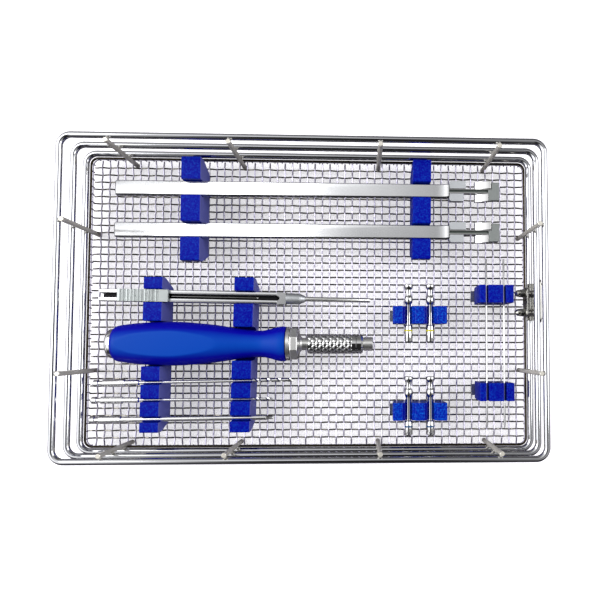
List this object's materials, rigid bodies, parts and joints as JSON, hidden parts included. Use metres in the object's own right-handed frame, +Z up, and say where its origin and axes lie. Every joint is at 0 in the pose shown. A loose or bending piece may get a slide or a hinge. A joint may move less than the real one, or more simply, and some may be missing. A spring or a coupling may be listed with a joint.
{
  "type": "instrument tray",
  "caption": "Rectangular wire-mesh instrument tray with upright posts, silicone holders, a wire lid latch and a set of lift-out orthopaedic instruments.",
  "frame": {"origin": "centre of the bounding box's underside, where the posts stand", "axes": "+X along the tray towards the latch, +Y across the tray towards the levers, +Z up"},
  "size_m": [0.3046, 0.2, 0.0516],
  "materials": {
    "steel_ring": "polished stainless wire",
    "steel_post": "polished stainless rod",
    "steel_mesh": "electropolished woven wire",
    "steel_edge": "heat-tinted welded edge",
    "steel_clip": "satin pressed sheet",
    "silicone": "satin moulded silicone",
    "steel_latch": "polished",
    "steel_satin": "fine satin, brushed lengthwise",
    "steel_slider": "bead blasted",
    "steel_tool": "polished",
    "grip_blue": "smooth matt silicone"
  },
  "bodies": {
    "tray": {"rim_ring": "steel_ring", "middle_ring": "steel_ring", "lower_ring": "steel_ring", "mesh_edge": "steel_edge", "mesh_long_wires": "steel_mesh", "mesh_cross_wires": "steel_mesh", "post_back_1": "steel_post", "post_back_2": "steel_post", "post_back_3": "steel_post", "post_back_4": "steel_post", "post_front_1": "steel_post", "post_front_2": "steel_post", "post_front_3": "steel_post", "post_front_4": "steel_post", "post_left_1": "steel_post", "post_left_2": "steel_post", "post_right_1": "steel_post", "post_right_2": "steel_post", "holder_a": "silicone", "holder_b": "silicone", "holder_c": "silicone", "holder_d": "silicone", "holder_e": "silicone", "holder_f": "silicone", "holder_g": "silicone", "holder_h": "silicone", "clip_a": "steel_clip", "clip_b": "steel_clip", "clip_c": "steel_clip", "clip_d": "steel_clip", "clip_e": "steel_clip", "clip_f": "steel_clip", "clip_g": "steel_clip", "clip_h": "steel_clip", "latch_inner_plate": "steel_latch", "latch_outer_plate": "steel_latch", "latch_bolt_1": "steel_latch", "latch_bolt_2": "steel_latch", "latch_nut_1": "steel_latch", "latch_nut_2": "steel_latch"},
    "latch_bail": {"latch_bail": "steel_latch"},
    "lever_1": {"lever_1": "steel_satin"},
    "lever_2": {"lever_2": "steel_satin"},
    "depth_gauge": {"gauge_body": "steel_satin", "gauge_tube": "steel_satin"},
    "gauge_slider": {"gauge_slider": "steel_slider", "gauge_needle": "steel_tool"},
    "driver": {"driver_cap": "steel_tool", "driver_grip": "grip_blue", "driver_core": "steel_tool"},
    "driver_sleeve": {"driver_sleeve": "steel_tool"},
    "drill_1": {"drill_1": "steel_tool"},
    "drill_2": {"drill_2": "steel_tool"},
    "hex_bit": {"hex_bit": "steel_tool"},
    "drill_guide_1": {"drill_guide_1": "steel_tool"},
    "drill_guide_2": {"drill_guide_2": "steel_tool"},
    "drill_guide_3": {"drill_guide_3": "steel_tool"},
    "drill_guide_4": {"drill_guide_4": "steel_tool"},
    "guide_pin_1": {"guide_pin_1": "steel_tool"},
    "guide_pin_2": {"guide_pin_2": "steel_tool"}
  },
  "joints": [
    {"name": "latch_bail_hinge", "type": "hinge", "parent": "tray", "child": "latch_bail", "pos_m": [0.15035, 0.0004, 0.021], "axis": [0, 1, 0], "range_deg": [0, 170]},
    {"name": "lever_1_lift", "type": "slide", "parent": "tray", "child": "lever_1", "axis": [0, 0, 1], "range_m": [0, 0.05]},
    {"name": "lever_2_lift", "type": "slide", "parent": "tray", "child": "lever_2", "axis": [0, 0, 1], "range_m": [0, 0.05]},
    {"name": "depth_gauge_lift", "type": "slide", "parent": "tray", "child": "depth_gauge", "axis": [0, 0, 1], "range_m": [0, 0.05]},
    {"name": "driver_lift", "type": "slide", "parent": "tray", "child": "driver", "axis": [0, 0, 1], "range_m": [0, 0.05]},
    {"name": "drill_1_lift", "type": "slide", "parent": "tray", "child": "drill_1", "axis": [0, 0, 1], "range_m": [0, 0.05]},
    {"name": "drill_2_lift", "type": "slide", "parent": "tray", "child": "drill_2", "axis": [0, 0, 1], "range_m": [0, 0.05]},
    {"name": "hex_bit_lift", "type": "slide", "parent": "tray", "child": "hex_bit", "axis": [0, 0, 1], "range_m": [0, 0.05]},
    {"name": "drill_guide_1_lift", "type": "slide", "parent": "tray", "child": "drill_guide_1", "axis": [0, 0, 1], "range_m": [0, 0.05]},
    {"name": "drill_guide_2_lift", "type": "slide", "parent": "tray", "child": "drill_guide_2", "axis": [0, 0, 1], "range_m": [0, 0.05]},
    {"name": "drill_guide_3_lift", "type": "slide", "parent": "tray", "child": "drill_guide_3", "axis": [0, 0, 1], "range_m": [0, 0.05]},
    {"name": "drill_guide_4_lift", "type": "slide", "parent": "tray", "child": "drill_guide_4", "axis": [0, 0, 1], "range_m": [0, 0.05]},
    {"name": "guide_pin_1_lift", "type": "slide", "parent": "tray", "child": "guide_pin_1", "axis": [0, 0, 1], "range_m": [0, 0.05]},
    {"name": "guide_pin_2_lift", "type": "slide", "parent": "tray", "child": "guide_pin_2", "axis": [0, 0, 1], "range_m": [0, 0.05]},
    {"name": "gauge_slider_slide", "type": "slide", "parent": "depth_gauge", "child": "gauge_slider", "axis": [0.9999, -0.0157, 0], "range_m": [-0.01, 0.06]},
    {"name": "driver_sleeve_slide", "type": "slide", "parent": "driver", "child": "driver_sleeve", "axis": [-1, 0, 0], "range_m": [0, 0.0035], "stiffness_N_per_m": 300, "springref_m": -0.003}
  ]
}
